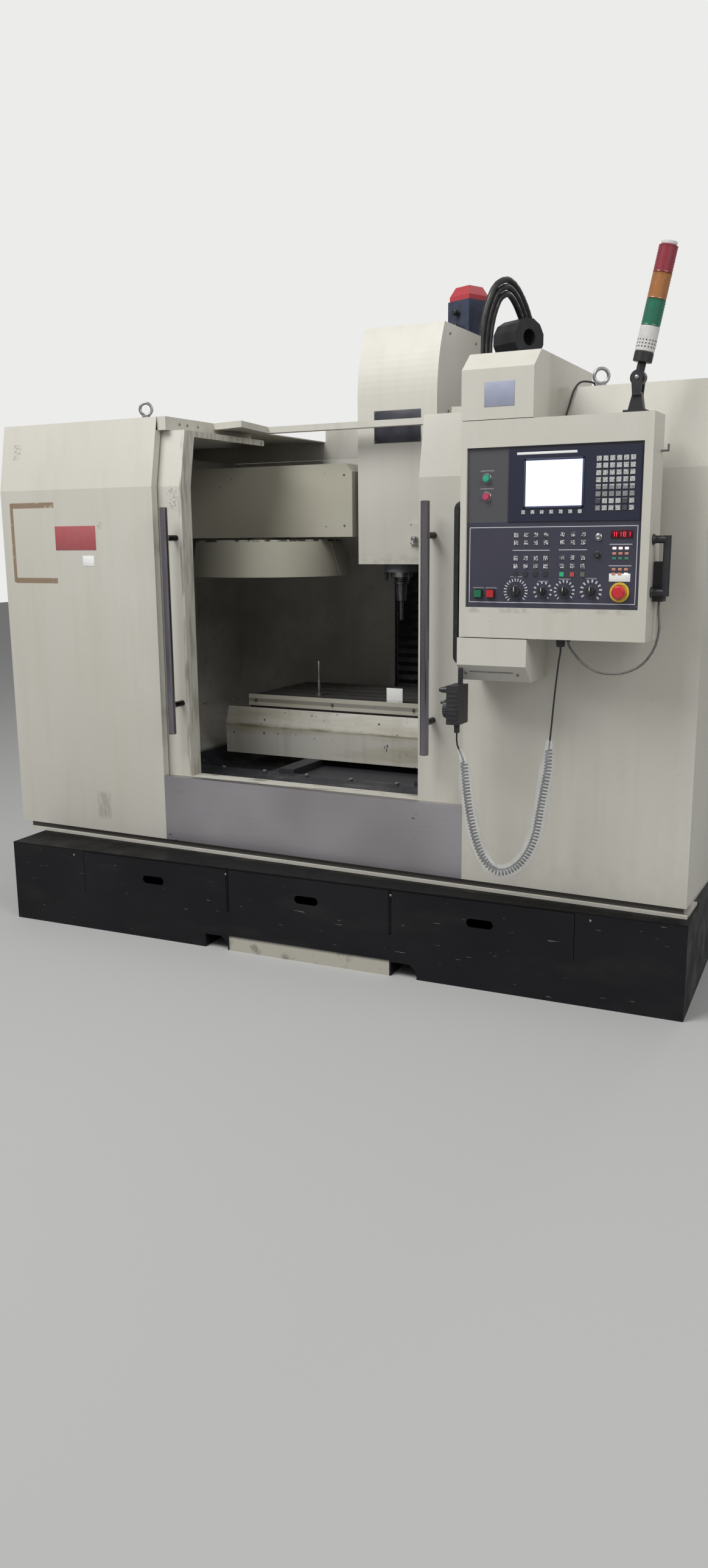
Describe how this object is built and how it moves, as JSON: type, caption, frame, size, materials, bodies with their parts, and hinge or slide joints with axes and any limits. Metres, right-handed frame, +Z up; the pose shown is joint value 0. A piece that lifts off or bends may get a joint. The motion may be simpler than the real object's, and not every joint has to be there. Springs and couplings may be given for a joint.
{
  "type": "cnc machining center",
  "caption": "Vertical machining center with open-top enclosure, sliding doors, moving table, tool magazine, swinging control box and chip drawers in a separate coolant tank.",
  "frame": {"origin": "centre of the bounding box on the floor", "axes": "+X to the operator's right along the front, +Y to the back, +Z up"},
  "size_m": [2.7764, 2.556, 2.59],
  "materials": {
    "cream_paint": "satin",
    "black_paint": "satin",
    "motor_paint": "satin",
    "blue_panel": "satin",
    "grey_sheet": "satin",
    "casting": "matte",
    "steel": "satin",
    "stainless": "satin",
    "tool_steel": "satin",
    "handle_steel": "gloss",
    "bellows_rubber": "matte",
    "cord_rubber": "matte",
    "black_plastic": "matte",
    "key_plastic": "matte",
    "red_plastic": "gloss",
    "green_plastic": "gloss",
    "lamp_plastic": "gloss",
    "screen_glass": "gloss",
    "window_glass": "gloss"
  },
  "bodies": {
    "machine": {"coolant_tank": "black_paint", "bed": "casting", "levelling_feet": "steel", "column": "casting", "column_bellows": "bellows_rubber", "z_screw": "steel", "z_motor": "motor_paint", "left_panel": "cream_paint", "right_panel": "cream_paint", "apron": "stainless", "enclosure_frame": "cream_paint", "inner_walls": "grey_sheet", "eye_bolts": "steel", "arm_duct": "cream_paint", "lower_bracket": "cream_paint", "magazine_cover": "cream_paint", "hose_drum": "black_plastic", "cabinet": "cream_paint", "pendant_body": "black_plastic", "pendant_cord": "cord_rubber", "head_hoses": "cord_rubber", "roof_cable": "cord_rubber"},
    "cabinet_leaf": {"cabinet_door": "cream_paint"},
    "hand_wheel": {"pendant_wheel": "black_plastic"},
    "tray_left": {"drawer_left": "black_paint"},
    "tray_middle": {"drawer_middle": "black_paint"},
    "tray_right": {"drawer_right": "black_paint"},
    "door_left": {"left_door": "cream_paint", "left_window": "window_glass", "left_handle": "handle_steel"},
    "door_right": {"right_door": "cream_paint", "right_window": "window_glass", "right_handle": "handle_steel"},
    "control": {"control_box": "cream_paint", "control_fascia": "blue_panel", "screen": "screen_glass", "keys": "key_plastic", "side_handle": "black_plastic", "side_cable": "cord_rubber", "tower_bracket": "black_plastic"},
    "tower": {"tower_light": "lamp_plastic"},
    "dial_spindle": {"knob_spindle": "black_plastic"},
    "dial_feed": {"knob_feed": "black_plastic"},
    "dial_rapid": {"knob_rapid": "black_plastic"},
    "dial_mode": {"knob_mode": "black_plastic"},
    "stop_head": {"estop_button": "red_plastic"},
    "on_button": {"power_on": "green_plastic"},
    "off_button": {"power_off": "red_plastic"},
    "start_button": {"cycle_start": "green_plastic"},
    "hold_button": {"cycle_hold": "red_plastic"},
    "head_unit": {"head": "casting", "head_cover": "cream_paint"},
    "spindle_unit": {"spindle": "steel", "tool": "tool_steel"},
    "saddle_unit": {"saddle": "casting", "saddle_cover": "cream_paint"},
    "table_unit": {"table": "casting", "table_guard": "cream_paint"},
    "magazine": {"magazine_carriage": "cream_paint"},
    "tool_wheel": {"carousel": "casting", "grippers": "steel"}
  },
  "joints": [
    {"name": "left_door_slide", "type": "slide", "parent": "machine", "child": "door_left", "axis": [1, 0, 0], "range_m": [-0.03, 0.52]},
    {"name": "right_door_slide", "type": "slide", "parent": "machine", "child": "door_right", "axis": [-1, 0, 0], "range_m": [-0.08, 0.44]},
    {"name": "saddle_slide", "type": "slide", "parent": "machine", "child": "saddle_unit", "axis": [0, 1, 0], "range_m": [-0.3, 0.19]},
    {"name": "table_slide", "type": "slide", "parent": "saddle_unit", "child": "table_unit", "axis": [1, 0, 0], "range_m": [-0.48, 0.53]},
    {"name": "head_slide", "type": "slide", "parent": "machine", "child": "head_unit", "axis": [0, 0, 1], "range_m": [-0.31, 0.25], "deforming": ["column_bellows", "head_hoses"]},
    {"name": "spindle_turn", "type": "hinge", "parent": "head_unit", "child": "spindle_unit", "pos_m": [0.01182, -0.252, 1.352], "axis": [0, 0, 1], "continuous": true},
    {"name": "magazine_slide", "type": "slide", "parent": "machine", "child": "magazine", "axis": [1, 0, 0], "range_m": [0, 0.135]},
    {"name": "carousel_turn", "type": "hinge", "parent": "magazine", "child": "tool_wheel", "pos_m": [-0.61918, -0.252, 1.425], "axis": [0, 0, 1], "continuous": true},
    {"name": "drawer_left_slide", "type": "slide", "parent": "machine", "child": "tray_left", "axis": [0.0523, -0.9986, 0], "range_m": [0, 0.35]},
    {"name": "drawer_middle_slide", "type": "slide", "parent": "machine", "child": "tray_middle", "axis": [0.0523, -0.9986, 0], "range_m": [0, 0.35]},
    {"name": "drawer_right_slide", "type": "slide", "parent": "machine", "child": "tray_right", "axis": [0.0523, -0.9986, 0], "range_m": [0, 0.35]},
    {"name": "control_swivel", "type": "hinge", "parent": "machine", "child": "control", "pos_m": [0.77932, -1.172, 1.203], "axis": [0, 0, 1], "range_deg": [-70, 0]},
    {"name": "tower_tilt", "type": "hinge", "parent": "control", "child": "tower", "pos_m": [1.17782, -1.172, 1.943], "axis": [0, 1, 0], "range_deg": [-60, 50]},
    {"name": "dial_spindle_turn", "type": "hinge", "parent": "control", "child": "dial_spindle", "pos_m": [0.84682, -1.232, 1.345], "axis": [0, -1, 0], "range_deg": [-150, 150]},
    {"name": "dial_feed_turn", "type": "hinge", "parent": "control", "child": "dial_feed", "pos_m": [0.93182, -1.232, 1.346], "axis": [0, -1, 0], "range_deg": [-150, 150]},
    {"name": "dial_rapid_turn", "type": "hinge", "parent": "control", "child": "dial_rapid", "pos_m": [0.99782, -1.232, 1.3475], "axis": [0, -1, 0], "range_deg": [-150, 150]},
    {"name": "dial_mode_turn", "type": "hinge", "parent": "control", "child": "dial_mode", "pos_m": [1.07882, -1.232, 1.3485], "axis": [0, -1, 0], "range_deg": [-150, 150]},
    {"name": "stop_press", "type": "slide", "parent": "control", "child": "stop_head", "axis": [0, 1, 0], "range_m": [0, 0.004]},
    {"name": "on_press", "type": "slide", "parent": "control", "child": "on_button", "axis": [0, 1, 0], "range_m": [0, 0.004], "stiffness_N_per_m": 400},
    {"name": "off_press", "type": "slide", "parent": "control", "child": "off_button", "axis": [0, 1, 0], "range_m": [0, 0.004], "stiffness_N_per_m": 400},
    {"name": "start_press", "type": "slide", "parent": "control", "child": "start_button", "axis": [0, 1, 0], "range_m": [0, 0.004], "stiffness_N_per_m": 400},
    {"name": "hold_press", "type": "slide", "parent": "control", "child": "hold_button", "axis": [0, 1, 0], "range_m": [0, 0.004], "stiffness_N_per_m": 400},
    {"name": "hand_wheel_turn", "type": "hinge", "parent": "machine", "child": "hand_wheel", "pos_m": [0.62182, -1.238, 0.974], "axis": [-1, 0, 0], "continuous": true},
    {"name": "cabinet_leaf_hinge", "type": "hinge", "parent": "machine", "child": "cabinet_leaf", "pos_m": [-0.43218, 1.268, 0.7], "axis": [0, 0, 1], "range_deg": [0, 110]}
  ]
}
